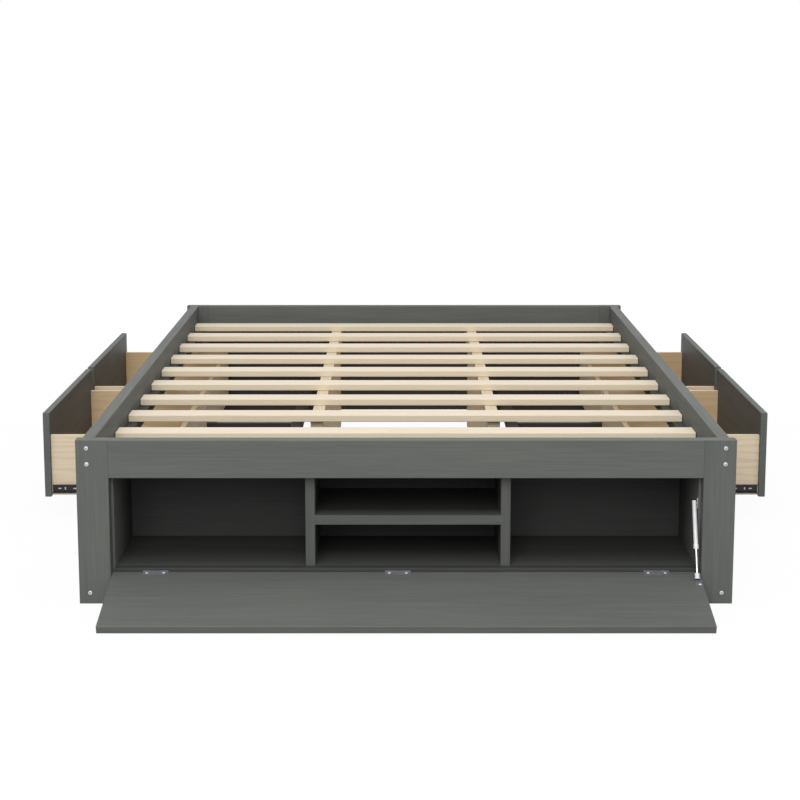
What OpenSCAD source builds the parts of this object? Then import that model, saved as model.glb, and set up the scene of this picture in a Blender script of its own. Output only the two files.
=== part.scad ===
// Tatami platform bed for a queen mattress, seen open as in a shop picture.
// Grey painted posts and rails carry ten pine slats. The foot end is a low
// cabinet with a drop flap, and each long side holds two drawers on
// telescopic ball slides.
//
// Axes: +X to the right as seen from the foot end, +Y from foot to head, +Z up.
// The origin lies on the floor, midway between the front edge of the open flap
// and the bolt heads at the back of the head posts.

/* [Overall] */
// Width over the corner posts
bed_w = 1615; // [1500:5:1700]
// Length over the corner posts
bed_l = 2104; // [2050:5:2200]
// Height of the corner posts
bed_h = 414; // [400:1:440]

/* [Posts and rails] */
// Width of a corner post, across the bed
post_w = 79; // [70:1:90]
// Thickness of a corner post, along the bed
post_t = 31; // [26:0.5:36]
// Height of the top rails
rail_h = 95; // [85:1:105]
// Thickness of the long side rails
side_rail_t = 30; // [24:0.5:34]
// Step from the face of a post back to the face of a side rail
side_rail_step = 12; // [8:0.5:16]
// Height of the low rails beneath the drawers
lower_rail_h = 52; // [44:1:56]
// Gap between a low rail and the floor
lower_rail_lift = 2; // [1:0.5:5]
// Thickness of the board that closes the head end
head_board_t = 18; // [12:0.5:24]
// Gap between that board and the floor
head_board_lift = 20; // [10:1:30]
// Width of the chamfer that eases the edges of painted boards
ease = 1.2; // [0.5:0.1:2]

/* [Slats] */
// Number of slats
slat_count = 10; // [8:1:12]
// Width of a slat
slat_w = 63; // [50:1:75]
// Thickness of a slat
slat_t = 20; // [16:0.5:24]
// Radius of the rounded long edges of a slat
slat_round = 3; // [1:0.5:5]
// Drop from the top of the rails to the top of the slats
slat_drop = 54; // [48:1:58]
// Gap between the foot end and the first slat
slat_foot_gap = 98; // [80:1:120]
// Gap between the last slat and the head rail
slat_head_gap = 61; // [40:1:80]
// Play between the end of a slat and the side rail
slat_play = 2; // [1:0.5:4]
// Width of the ledgers that carry the ends of the slats
ledger_w = 28; // [22:0.5:32]
// Height of those ledgers
ledger_h = 26; // [20:0.5:32]

/* [Centre beams] */
// Distance from the middle of the bed to the middle of a beam
beam_x = 246.5; // [220:0.5:260]
// Width of a beam
beam_w = 34; // [28:0.5:40]
// Height of a beam
beam_h = 60; // [45:1:75]
// Thickness of the panel that stands beneath a beam
beam_panel_t = 20; // [16:0.5:26]
// Gap between that panel and the head board
beam_panel_head_gap = 174; // [120:2:220]

/* [Foot cabinet] */
// Depth from the face of the posts to the back board
cabinet_depth = 294; // [270:1:300]
// Step from the inner edge of a post to the inner face of a cabinet side
cabinet_side_step = 5.5; // [3:0.5:8]
// Thickness of the cabinet sides
cabinet_side_t = 19; // [16:0.5:22]
// Height of the top face of the cabinet floor
floor_z = 82.4; // [78:0.2:88]
// Thickness of the cabinet floor
floor_t = 19; // [15:0.5:22]
// Thickness of the cabinet top
cabinet_top_t = 19; // [15:0.5:20]
// Thickness of the cabinet back board
back_t = 18; // [12:0.5:20]
// Thickness of the partitions and of the shelf
partition_t = 24; // [18:0.5:28]
// Distance from the middle of the shelf to the middle of a partition
partition_x = 243; // [230:1:255]
// Offset of the shelf and the partitions from the middle of the bed
partition_shift = 5; // [-10:1:10]
// Set-back of the partitions and the shelf from the face of the posts
partition_recess = 45; // [38:1:60]
// Height of the top face of the shelf above the cabinet floor
shelf_rise = 130; // [110:1:150]
// Depth of the housings that hold the shelf and the drawer bottoms
housing = 5; // [3:0.5:6]
// Thickness of the plinth, which closes the front of the cabinet floor
plinth_t = 19; // [15:0.5:24]
// Step from the face of the posts back to the face of the plinth
plinth_step = 26.5; // [24:0.5:30]

/* [Flap and hinges] */
// Thickness of the flap
flap_t = 19.5; // [16:0.5:21]
// Angle of the open flap, counted from shut
flap_open = 103.3; // [90:0.1:103.3]
// Play between each end of the flap and its post
flap_side_play = 1; // [0.8:0.1:3]
// Play between the shut flap and the foot rail
flap_top_play = 1.5; // [1:0.5:4]
// Distance from the top of the cabinet floor down to the hinge pins
hinge_drop = 7.9; // [6:0.1:12]
// Width of a hinge
leaf_w = 63; // [50:1:75]
// Depth of a hinge leaf from the pin to its edge
leaf_d = 17; // [14:0.5:20]
// Thickness of a hinge leaf
leaf_t = 1.5; // [1.2:0.1:1.8]
// Radius of the hinge knuckles
knuckle_r = 2.6; // [2.4:0.1:2.8]
// Radius of the hinge pins
pin_r = 1.3; // [1:0.1:1.5]
// Distance from the end of the flap to the outer hinges
hinge_end_gap = 75; // [50:1:110]
// Offset of the middle hinge from the middle of the flap
hinge_mid_shift = -20; // [-40:1:40]

/* [Flap stay] */
// Distance from the inner face of the cabinet side to the stay
stay_off = 8; // [8:0.2:9]
// Distance from the front edge of the cabinet side to the upper pivot
stay_top_y = 11; // [9:0.5:14]
// Height of the upper pivot above the cabinet floor
stay_top_rise = 162; // [156:1:170]
// Distance along the flap from the hinge pin to the lower pivot
stay_foot_reach = 42; // [38:0.5:44]
// Distance from the inner face of the flap to the lower pivot
stay_foot_rise = 13; // [12:0.1:14]
// Outer radius of the stay tube
tube_r = 5.4; // [5:0.1:6]
// Wall of the stay tube
tube_wall = 1; // [0.6:0.1:1.4]
// Radius of the stay rod
rod_r = 2.4; // [2:0.1:2.8]

/* [Drawers] */
// Clear width of a drawer bay, along the bed
bay_w = 650; // [600:2:655]
// Thickness of the stiles and runner boards between the bays
divider_t = 26; // [20:0.5:30]
// How far the drawers stand open
drawer_open = 254; // [0:2:340]
// Thickness of a drawer front
front_t = 19; // [16:0.5:22]
// Play between a drawer front and the stiles beside it
front_side_play = 1.5; // [1:0.5:3]
// Play between a drawer front and the rail above it
front_top_play = 2; // [1:0.5:4]
// Gap between a drawer front and the low rail beneath it
front_low_gap = 13; // [8:0.5:18]
// Length of a drawer box behind its front
box_l = 377; // [360:1:390]
// Thickness of the sides and the end of a drawer box
box_t = 14; // [11:0.5:16]
// Height of a drawer box
box_h = 178; // [150:1:190]
// Height of the box above the lower edge of its front
box_lift = 3; // [1:0.5:8]
// Thickness of a drawer bottom
bottom_t = 6; // [4:0.5:9]
// Height of the drawer bottom above the lower edge of the box
bottom_rise = 8; // [6:0.5:14]
// Thickness of the stiles and of the fixed side panels
side_panel_t = 19; // [16:0.5:22]
// Height of the runner boards
runner_h = 131; // [120:1:150]
// Width of the long bar that ties the inner ends of the runner boards
bar_w = 35; // [28:0.5:40]
// Height of that bar
bar_h = 32; // [26:0.5:40]
// Gap between a shut drawer and that bar
bar_gap = 23.5; // [15:0.5:30]

/* [Ball slides] */
// Length of a slide, which is also its travel
slide_l = 350; // [340:1:355]
// Depth of a slide, from the runner board to the drawer
slide_d = 12.7; // [12:0.1:14]
// Height of the fixed channel
channel_h = 37; // [36:0.5:40]
// Thickness of the slide metal
gauge = 1.2; // [1:0.1:1.3]
// Space for the balls between two members
ball_space = 2.2; // [2:0.1:2.4]
// Running clearance beside the balls
ball_play = 0.35; // [0.3:0.05:0.4]
// Height of the slide's middle line above the lower edge of the box
slide_rise = 19; // [18.5:0.1:24]
// Gap between the front end of a slide and the back of the drawer front
slide_front_gap = 2; // [1:0.5:4]

/* [Bolts] */
// Radius of a bolt head
bolt_head_r = 6.1; // [5:0.1:7]
// Height of a bolt head
bolt_head_h = 3; // [2:0.1:4]
// Radius of a bolt shank
bolt_r = 3; // [2.5:0.1:4]
// Length of a bolt shank
bolt_l = 75; // [60:1:90]
// Distance from the top of a rail to its upper bolt
bolt_drop = 19.5; // [15:0.5:25]
// Distance between the two bolts of a top rail
bolt_pitch = 40; // [30:1:50]

/* [Hidden] */
$fn = 48;
overrun = 1;
running = 0.05;
glue_gap = 0.1;
paint = [0.41, 0.42, 0.405];
paint_dark = [0.27, 0.27, 0.26];
pine = [0.86, 0.78, 0.64];
pine_deep = [0.76, 0.66, 0.50];
steel = [0.78, 0.79, 0.80];
black = [0.10, 0.10, 0.11];
white = [0.90, 0.90, 0.91];

// Sides and ends of the bed, as factors and indexes
right = 1;
left = -1;
foot_bay = 0;
head_bay = 1;
bays = [foot_bay, head_bay];

// Places across the bed, measured from its middle
half_w = bed_w / 2;
post_in_x = half_w - post_w;
rail_out_x = half_w - side_rail_step;
rail_in_x = rail_out_x - side_rail_t;
panel_in_x = rail_out_x - side_panel_t;
cabinet_in_x = post_in_x - cabinet_side_step;
flap_half = post_in_x - flap_side_play;

// Places along the bed, measured from the face of the foot posts
head_face = bed_l - post_t;
rail_l = head_face - post_t;
slat_pitch = (head_face - slat_head_gap - slat_w - slat_foot_gap) / (slat_count - 1);
beam_start = slat_foot_gap + 2 * slat_pitch + slat_w / 2;
cabinet_back_y = cabinet_depth + back_t;
bay_pitch = bay_w + divider_t;
first_divider_y = head_face - 2 * bay_pitch - divider_t;

// Heights above the floor
rail_z = bed_h - rail_h;
slat_z = bed_h - slat_drop - slat_t;
lower_rail_top = lower_rail_lift + lower_rail_h;
cabinet_top_z = slat_z - cabinet_top_t;
front_z = lower_rail_top + front_low_gap;
front_h = rail_z - front_top_play - front_z;
box_z = front_z + box_lift;
slide_z = box_z + slide_rise;

// Ends in X of the box of a shut drawer, and the inner face of the long bar
// behind it
box_front_x = rail_out_x - front_t;
box_end_x = box_front_x - box_l;
bar_x = box_end_x - bar_gap - bar_w;

// The knuckles stand just clear of the plinth. The leaves lie along their back,
// one on the plinth and one on the inner face of the flap.
knuckle_gap = 0.3;
knuckle_clear = knuckle_r + 2 * knuckle_gap;
hinge_y = plinth_step - knuckle_gap - knuckle_r;
hinge_z = floor_z - hinge_drop;
leaf_off = knuckle_r - leaf_t;
flap_h = rail_z - flap_top_play - hinge_z - knuckle_clear;
hinge_out_x = flap_half - hinge_end_gap - leaf_w / 2;
hinge_places = [-hinge_out_x, hinge_mid_shift, hinge_out_x];

// Knuckles of the two leaves as [from, length] along the pin
knuckle_w = leaf_w / 3;
outer_knuckles = [
    [-leaf_w / 2, knuckle_w - knuckle_gap / 2],
    [leaf_w / 2 - knuckle_w + knuckle_gap / 2, knuckle_w - knuckle_gap / 2]
];
inner_knuckle = [[-knuckle_w / 2 + knuckle_gap / 2, knuckle_w - knuckle_gap]];

// The whole bed is moved along Y so that the origin lies midway between the
// front edge of the open flap and the bolt heads of the head posts
flap_tip = (flap_h + knuckle_clear) * sin(flap_open) - (leaf_off - ease) * cos(flap_open);
foot_y = -(bed_l + bolt_head_h - (flap_tip - hinge_y)) / 2;

// Pivots of the stay as [y, z], seen from the side. The lower one swings with
// the flap about the hinge pin.
stay_x = cabinet_in_x - stay_off;
stay_top = [post_t + stay_top_y, floor_z + stay_top_rise];
function swung(p, a) = [hinge_y + p[0] * cos(a) - p[1] * sin(a), hinge_z + p[0] * sin(a) + p[1] * cos(a)];
stay_foot_shut = [leaf_off + stay_foot_rise, stay_foot_reach];
stay_open_line = stay_top - swung(stay_foot_shut, flap_open);
stay_shut_line = stay_top - swung(stay_foot_shut, 0);
stay_open_l = norm(stay_open_line);
stay_shut_l = norm(stay_shut_line);
stay_open_tilt = atan2(stay_open_line[0], stay_open_line[1]);
stay_shut_tilt = atan2(stay_shut_line[0], stay_shut_line[1]);
echo(stay_open_l = stay_open_l, stay_shut_l = stay_shut_l, travel = stay_open_l - stay_shut_l);
echo(stay_open_tilt = stay_open_tilt, stay_shut_tilt = stay_shut_tilt);
echo(foot_y = foot_y, hinge = [foot_y + hinge_y, hinge_z], stay_top = [foot_y + stay_top[0], stay_top[1]]);

// Sizes of the stay's fittings
ear_r = 4.5;
stud_r = 2.2;
rivet_r = 3.4;
rivet_h = 1;
plate_t = 1.2;
bracket_half = 9;
bracket_toe = 26;
fitting_r = 6;
fitting_up = 6;
fitting_down = 7;
tube_head = 6.5;
tube_plug = 8;
gland_l = 11;
gland_lip = 0.8;
piston_l = 6;
rod_end_gap = 10;
tube_l = stay_shut_l - fitting_up - rod_end_gap;
tube_bore_r = tube_r - tube_wall;
piston_top = tube_l - gland_l - piston_l - rod_end_gap;

// Heights of the slide members, from the middle line to their outer edges
channel_half = channel_h / 2;
middle_half = channel_half - gauge - ball_space;
inner_half = middle_half - gauge - ball_space;
lip = 2.2;
slide_out_x = box_front_x - slide_front_gap;

// Slots along the web of the drawer member, as shares of the slide's length:
// the distance from its front end, and the length of the slot. One slot stands
// upright, for setting the height of the drawer.
slot_shares = [[0.057, 0.027], [0.183, 0.031], [0.457, 0.069], [0.731, 0.069], [0.903, 0.037]];
upright_slot_share = 0.103;
upright_slot_l = 8.5;
slot_h = 4.4;

// Bolts sit on the middle line of the side rails
bolt_x = rail_out_x - side_rail_t / 2;
bolt_heights = [
    bed_h - bolt_drop,
    bed_h - bolt_drop - bolt_pitch,
    lower_rail_lift + lower_rail_h / 2
];
socket_r = 2.9;
socket_depth = 1.8;
bolt_play = 0.1;

// Moves what is drawn from the face of the foot posts to the bed's own origin
module placed() {
    translate([0, foot_y, 0]) children();
}

// Draws the children on the stated side of the bed
module on_side(side) {
    if (side == left) mirror([1, 0, 0]) children();
    else children();
}

module on_both_sides() {
    for (side = [left, right]) on_side(side) children();
}

// A rectangle with its four corners cut off at 45 degrees
module eased_square(size, cut = ease) {
    polygon([
        [cut, 0], [size[0] - cut, 0], [size[0], cut], [size[0], size[1] - cut],
        [size[0] - cut, size[1]], [cut, size[1]], [0, size[1] - cut], [0, cut]
    ]);
}

// Boards with eased edges along X, Y or Z, from a low corner and a size
module board_x(corner, size) {
    translate(corner) rotate([90, 0, 90]) linear_extrude(size[0]) eased_square([size[1], size[2]]);
}

module board_y(corner, size) {
    translate(corner + [0, size[1], 0]) rotate([90, 0, 0]) linear_extrude(size[1])
        eased_square([size[0], size[2]]);
}

module board_z(corner, size) {
    translate(corner) linear_extrude(size[2]) eased_square([size[0], size[1]]);
}

// Outlines drawn as [x, z] or [y, z] and extruded from a low Y or X
module extrude_y(from, length) {
    translate([0, from + length, 0]) rotate([90, 0, 0]) linear_extrude(length) children();
}

module extrude_x(from, length) {
    translate([from, 0, 0]) rotate([90, 0, 90]) linear_extrude(length) children();
}

// A round bar or bore along Y or X
module rod_y(x, z, from, length, r) {
    translate([x, from, z]) rotate([-90, 0, 0]) cylinder(h = length, r = r);
}

module rod_x(y, z, from, length, r) {
    translate([from, y, z]) rotate([0, 90, 0]) cylinder(h = length, r = r);
}

// Posts, rails and the board of the head end

module bolt_bores(from, length) {
    for (z = bolt_heights) rod_y(bolt_x, z, from, length, bolt_r + bolt_play);
}

module post(from) {
    color(paint) placed() difference() {
        board_z([post_in_x, from, 0], [post_w, post_t, bed_h]);
        bolt_bores(from - overrun, post_t + 2 * overrun);
    }
}

module end_rail(from) {
    color(paint) placed() board_x([-post_in_x, from, rail_z], [2 * post_in_x, post_t, rail_h]);
}

module side_rail_bored(z, h) {
    bore_l = bolt_l - post_t + overrun;
    color(paint) placed() difference() {
        board_y([rail_in_x, post_t, z], [side_rail_t, rail_l, h]);
        bolt_bores(post_t - overrun, bore_l + overrun);
        bolt_bores(head_face - bore_l, bore_l + overrun);
    }
}

module side_rail() {
    side_rail_bored(rail_z, rail_h);
}

module lower_rail() {
    side_rail_bored(lower_rail_lift, lower_rail_h);
}

module head_board() {
    color(paint_dark) placed() board_x(
        [-post_in_x, head_face, head_board_lift],
        [2 * post_in_x, head_board_t, rail_z - head_board_lift]
    );
}

// Bolt with a low round head and a hexagon socket, pointing along +Y from the
// face of a post
module bolt() {
    difference() {
        union() {
            rod_y(0, 0, 0, bolt_l, bolt_r);
            rotate([90, 0, 0]) rotate_extrude() intersection() {
                square([bolt_head_r, bolt_head_h]);
                translate([0, bolt_head_h - 2 * bolt_head_r]) circle(r = 2 * bolt_head_r, $fn = 96);
            }
        }
        translate([0, -bolt_head_h - overrun, 0]) rotate([-90, 0, 0])
            cylinder(h = socket_depth + overrun, r = socket_r, $fn = 6);
    }
}

module corner_bolts() {
    color(steel) placed() on_both_sides() for (z = bolt_heights) {
        translate([bolt_x, 0, z]) bolt();
        translate([bolt_x, bed_l, z]) mirror([0, 1, 0]) bolt();
    }
}

// Slats, ledgers and centre beams

module rounded_bar(w, h, r) {
    translate([r, 0]) square([w - 2 * r, h]);
    translate([0, r]) square([w, h - 2 * r]);
    for (x = [r, w - r], y = [r, h - r]) translate([x, y]) circle(r = r, $fn = 32);
}

module slats() {
    slat_l = 2 * (rail_in_x - slat_play);
    color(pine) placed() for (i = [0 : slat_count - 1])
        translate([0, slat_foot_gap + i * slat_pitch, slat_z])
            extrude_x(-slat_l / 2, slat_l) rounded_bar(slat_w, slat_t, slat_round);
}

module slat_ledgers() {
    color(paint) placed() on_both_sides() board_y(
        [rail_in_x - ledger_w, cabinet_back_y, slat_z - ledger_h],
        [ledger_w, head_face - cabinet_back_y, ledger_h]
    );
}

module centre_beam() {
    color(pine) placed() extrude_y(beam_start, head_face - beam_start)
        translate([beam_x - beam_w / 2, slat_z - beam_h]) rounded_bar(beam_w, beam_h, slat_round / 2);
}

module beam_panels() {
    color(pine_deep) placed() on_both_sides() board_y(
        [beam_x - beam_w / 2, beam_start, 0],
        [beam_panel_t, head_face - beam_panel_head_gap - beam_start, slat_z - beam_h]
    );
}

// Foot cabinet

module cabinet_floor() {
    front = plinth_step + plinth_t;
    color(paint_dark) placed() translate([-cabinet_in_x, front, floor_z - floor_t])
        cube([2 * cabinet_in_x, cabinet_depth - front, floor_t]);
}

module cabinet_top() {
    side_x = cabinet_in_x + cabinet_side_t;
    color(paint_dark) placed() board_x(
        [-side_x, post_t, cabinet_top_z],
        [2 * side_x, cabinet_depth - post_t, cabinet_top_t]
    );
}

module cabinet_back() {
    color(paint_dark) placed() board_x(
        [-rail_in_x, cabinet_depth, lower_rail_lift],
        [2 * rail_in_x, back_t, slat_z - lower_rail_lift]
    );
}

module cabinet_side() {
    color(paint_dark) placed() board_z(
        [cabinet_in_x, post_t, lower_rail_lift],
        [cabinet_side_t, cabinet_depth - post_t, cabinet_top_z - lower_rail_lift]
    );
}

// A partition has a housing on its inner face for the end of the shelf
module partition() {
    in_x = partition_x - partition_t / 2;
    color(paint_dark) difference() {
        board_z(
            [in_x, partition_recess, floor_z],
            [partition_t, cabinet_depth - partition_recess, cabinet_top_z - floor_z]
        );
        translate([in_x - overrun, partition_recess - overrun, floor_z + shelf_rise - partition_t])
            cube([housing + overrun, cabinet_depth - partition_recess + 2 * overrun, partition_t]);
    }
}

module shelf() {
    half = partition_x - partition_t / 2 + housing;
    color(paint_dark) translate([-half, partition_recess, floor_z + shelf_rise - partition_t])
        cube([2 * half, cabinet_depth - partition_recess, partition_t]);
}

// Moves the shelf and the partitions to their place in the cabinet
module shelf_place() {
    placed() translate([partition_shift, 0, 0]) children();
}

// The plinth stands on edge before the cabinet floor, flush with its top, and
// carries the hinges. Only its front edges are eased.
module plinth() {
    h = floor_z - lower_rail_lift;
    color(paint_dark) placed() extrude_x(-cabinet_in_x, 2 * cabinet_in_x)
        translate([plinth_step, lower_rail_lift]) polygon([
            [ease, 0], [plinth_t, 0], [plinth_t, h], [ease, h], [0, h - ease], [0, ease]
        ]);
}

// Flap, hinges and stay

// Draws the children as they lie on the shut flap, measured from the hinge
// pin, and swings them open with it
module swung_open() {
    placed() translate([0, hinge_y, hinge_z]) rotate([flap_open, 0, 0]) children();
}

module flap() {
    color(paint) swung_open() board_x(
        [-flap_half, leaf_off - flap_t, knuckle_clear],
        [2 * flap_half, flap_t, flap_h]
    );
}

// One leaf, which rises along +Z from the pin at the back of the knuckles. The
// pin line is X, and the other leaf's knuckles are the rivals it is cut back for.
module leaf(knuckles, rivals) {
    difference() {
        union() {
            translate([-leaf_w / 2, leaf_off, 0]) cube([leaf_w, leaf_t, leaf_d]);
            for (k = knuckles) rod_x(0, 0, k[0], k[1], knuckle_r);
        }
        for (k = rivals) translate([k[0] - knuckle_gap, -knuckle_r - overrun, -knuckle_r - overrun])
            cube([
                k[1] + 2 * knuckle_gap, 2 * (knuckle_r + overrun),
                2 * knuckle_r + overrun + knuckle_gap
            ]);
        rod_x(0, 0, -leaf_w / 2 - overrun, leaf_w + 2 * overrun, pin_r + running);
    }
}

module hinge_leaves_fixed() {
    color(steel) placed() for (x = hinge_places)
        translate([x, hinge_y, hinge_z]) mirror([0, 0, 1]) leaf(outer_knuckles, inner_knuckle);
}

module hinge_leaves_flap() {
    color(steel) swung_open() for (x = hinge_places)
        translate([x, 0, 0]) leaf(inner_knuckle, outer_knuckles);
}

module hinge_pins() {
    color(steel) placed() for (x = hinge_places)
        rod_x(hinge_y, hinge_z, x - leaf_w / 2, leaf_w, pin_r);
}

// A plate with round ends on the cabinet side, with the boss that the head of
// the tube hangs on. The joint is left open there, so the boss ends beside it.
module stay_bracket_upper() {
    plate_r = ear_r + plate_t;
    boss_x = stay_x + tube_r + knuckle_gap;
    color(steel) placed() translate([0, stay_top[0], stay_top[1]]) {
        extrude_x(cabinet_in_x - plate_t, plate_t) {
            for (z = [-bracket_half, bracket_half]) translate([0, z]) circle(r = plate_r);
            translate([-plate_r, -bracket_half]) square([2 * plate_r, 2 * bracket_half]);
        }
        rod_x(0, 0, boss_x, cabinet_in_x - boss_x, stud_r);
    }
}

// The foot bracket is an angle: a base on the flap, which runs on as a toe for
// its screw, and an ear with the riveted stud that the rod's end turns on
module stay_bracket_lower() {
    ear_x = stay_x + fitting_r + knuckle_gap;
    base_x = stay_x - fitting_r;
    base_w = flap_half - flap_side_play - base_x;
    stud_x = base_x - knuckle_gap - rivet_h;
    color(steel) swung_open() translate([0, leaf_off, stay_foot_reach]) {
        translate([base_x, 0, -bracket_half]) cube([base_w, plate_t, bracket_half + bracket_toe]);
        extrude_x(ear_x, plate_t) {
            translate([0, -ear_r]) square([stay_foot_rise, 2 * ear_r]);
            translate([stay_foot_rise, 0]) circle(r = ear_r);
        }
        rod_x(stay_foot_rise, 0, stud_x, ear_x - stud_x + plate_t / 2, stud_r);
        rod_x(stay_foot_rise, 0, stud_x, rivet_h, rivet_r);
    }
}

// Draws the children along the open stay, with the upper pivot at the origin
// and the lower pivot on the -Z axis
module along_stay() {
    placed() translate([stay_x, stay_top[0], stay_top[1]]) rotate([-stay_open_tilt, 0, 0]) children();
}

module stay_tube() {
    color(white) along_stay() difference() {
        union() {
            translate([0, 0, -tube_l]) cylinder(h = tube_l + tube_head, r = tube_r);
            translate([0, 0, -tube_l]) cylinder(h = gland_l, r = tube_r + gland_lip);
        }
        translate([0, 0, -tube_l + gland_l]) cylinder(h = tube_l - gland_l - tube_plug, r = tube_bore_r);
        translate([0, 0, -tube_l - overrun]) cylinder(h = gland_l + 2 * overrun, r = rod_r + running);
        rod_x(0, 0, -tube_r - overrun, 2 * (tube_r + overrun), stud_r + running);
    }
}

// The rod, with the piston that slides in the tube and the end fitting that
// turns on the stud of the foot bracket
module stay_rod() {
    color(steel) along_stay() translate([0, 0, -stay_open_l]) difference() {
        union() {
            cylinder(h = stay_open_l - piston_top - piston_l, r = rod_r);
            translate([0, 0, stay_open_l - piston_top - piston_l])
                cylinder(h = piston_l, r = tube_bore_r - running);
            translate([0, 0, -fitting_down]) cylinder(h = fitting_down + fitting_up, r = fitting_r);
        }
        rod_x(0, 0, -fitting_r - overrun, 2 * (fitting_r + overrun), stud_r + running);
    }
}

// Sides: fixed panels, stiles, runner boards and the bars that tie them

module side_panel() {
    color(paint) placed() board_y(
        [panel_in_x, post_t, lower_rail_top],
        [side_panel_t, first_divider_y - post_t, rail_z - lower_rail_top]
    );
}

module side_stiles() {
    color(paint) placed() on_both_sides() for (i = [0 : 2]) board_z(
        [panel_in_x, first_divider_y + i * bay_pitch, lower_rail_top],
        [side_panel_t, divider_t, rail_z - lower_rail_top]
    );
}

// A runner board stands on the floor. It is notched over the low rail at its
// outer end and under the long bar at its inner end.
module runner_boards() {
    outline = [
        [bar_x, 0], [rail_in_x, 0], [rail_in_x, lower_rail_top], [panel_in_x, lower_rail_top],
        [panel_in_x, runner_h], [bar_x + bar_w, runner_h], [bar_x + bar_w, runner_h - bar_h],
        [bar_x, runner_h - bar_h]
    ];
    color(paint_dark) placed() on_both_sides() for (i = [0 : 2])
        extrude_y(first_divider_y + i * bay_pitch, divider_t) polygon(outline);
}

module inner_bars() {
    color(paint_dark) placed() on_both_sides() board_y(
        [bar_x, first_divider_y, runner_h - bar_h],
        [bar_w, head_face - first_divider_y, bar_h]
    );
}

// Drawers

// Draws the children at one bay, moved outwards by travel. They are made for
// the right side with Y measured from the near face of the bay.
module at_bay(bay, side, travel) {
    placed() on_side(side) translate([travel, first_divider_y + divider_t + bay * bay_pitch, 0]) children();
}

module drawer_front(bay, side) {
    color(paint) at_bay(bay, side, drawer_open) difference() {
        board_y(
            [box_front_x, front_side_play, front_z],
            [front_t, bay_w - 2 * front_side_play, front_h]
        );
        translate([box_front_x - overrun, slide_d + box_t - housing, box_z + bottom_rise])
            cube([housing + overrun, bay_w - 2 * (slide_d + box_t - housing), bottom_t]);
    }
}

// Three separate boards. The end board stands in a rebate at the end of each
// side, and all three are grooved for the bottom.
module drawer_box(bay, side) {
    inner_y = slide_d + box_t;
    color(pine) at_bay(bay, side, drawer_open) difference() {
        union() {
            for (y = [slide_d, bay_w - slide_d - box_t])
                translate([box_end_x, y, box_z]) cube([box_l, box_t, box_h]);
            translate([box_end_x, inner_y - overrun, box_z])
                cube([box_t, bay_w - 2 * (inner_y - overrun), box_h]);
        }
        for (end = [0, 1]) translate([0, end * bay_w, 0]) mirror([0, end, 0]) rebate_gap(inner_y);
        translate([box_end_x + box_t - housing, inner_y - housing, box_z + bottom_rise])
            cube([box_l, bay_w - 2 * (inner_y - housing), bottom_t]);
    }
}

// The thin L-shaped gap that parts a side from the end board in its rebate
module rebate_gap(inner_y) {
    translate([box_end_x - overrun, inner_y - housing, box_z - overrun])
        cube([box_t + overrun + glue_gap, glue_gap, box_h + 2 * overrun]);
    translate([box_end_x + box_t, inner_y - housing, box_z - overrun])
        cube([glue_gap, housing + overrun, box_h + 2 * overrun]);
}

module drawer_bottom(bay, side) {
    inner_y = slide_d + box_t - housing;
    color(pine_deep) at_bay(bay, side, drawer_open)
        translate([box_end_x + box_t - housing, inner_y, box_z + bottom_rise])
            cube([box_l - box_t + 2 * housing, bay_w - 2 * inner_y, bottom_t]);
}

// Slides. Outlines are drawn as [across, up], with across counted from the
// runner board towards the drawer and up from the slide's middle line.

module mirrored_up() {
    children();
    mirror([0, 1]) children();
}

module channel_outline() {
    mirrored_up() {
        square([gauge, channel_half]);
        translate([0, channel_half - gauge]) square([slide_d - 2 * gauge, gauge]);
        translate([slide_d - 3 * gauge, channel_half - lip]) square([gauge, lip]);
    }
}

// The middle member carries a row of balls on each face of its flanges, drawn
// as one rounded rib
module middle_outline() {
    flange_l = slide_d - 4 * gauge;
    rib_r = (ball_space - ball_play) / 2;
    rib_y = 2 * gauge + flange_l / 2;
    mirrored_up() {
        translate([2 * gauge, 0]) square([gauge, middle_half]);
        translate([2 * gauge, middle_half - gauge]) square([flange_l, gauge]);
        translate([rib_y, middle_half + rib_r]) circle(r = rib_r, $fn = 24);
        translate([rib_y - rib_r / 2, middle_half - gauge / 2]) square([rib_r, gauge]);
        translate([rib_y, middle_half - gauge - rib_r]) circle(r = rib_r, $fn = 24);
        translate([rib_y - rib_r / 2, middle_half - gauge - gauge / 2]) square([rib_r, gauge]);
    }
}

module inner_outline() {
    mirrored_up() {
        translate([slide_d - gauge, 0]) square([gauge, inner_half]);
        translate([4 * gauge, inner_half - gauge]) square([slide_d - 4 * gauge, gauge]);
    }
}

// Extrudes a slide outline along the travel, once at each side of the bay
module slide_pair(from) {
    for (end = [0, 1]) translate([from, end * bay_w, slide_z]) mirror([0, end, 0])
        extrude_x(0, slide_l) children();
}

module slide_channels() {
    color(black) for (bay = bays, side = [left, right])
        at_bay(bay, side, 0) slide_pair(slide_out_x - slide_l) channel_outline();
}

module slide_middle(bay, side) {
    color(black) at_bay(bay, side, drawer_open / 2) slide_pair(slide_out_x - slide_l) middle_outline();
}

// Cuts a slot through both drawer members of a bay, along or upright
module slot_cutter(place, length, turn = 0) {
    run = (length - slot_h) / 2;
    translate([slide_out_x - place, 0, slide_z]) rotate([90, turn, 0]) for (end = [0, -bay_w])
        translate([0, 0, end]) linear_extrude(2 * slide_d + overrun, center = true) {
            for (x = [-run, run]) translate([x, 0]) circle(r = slot_h / 2, $fn = 24);
            translate([-run, -slot_h / 2]) square([2 * run, slot_h]);
        }
}

module slide_inner(bay, side) {
    color(black) at_bay(bay, side, drawer_open) difference() {
        slide_pair(slide_out_x - slide_l) inner_outline();
        for (s = slot_shares) slot_cutter(s[0] * slide_l, s[1] * slide_l);
        slot_cutter(upright_slot_share * slide_l, upright_slot_l, 90);
    }
}

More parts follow.
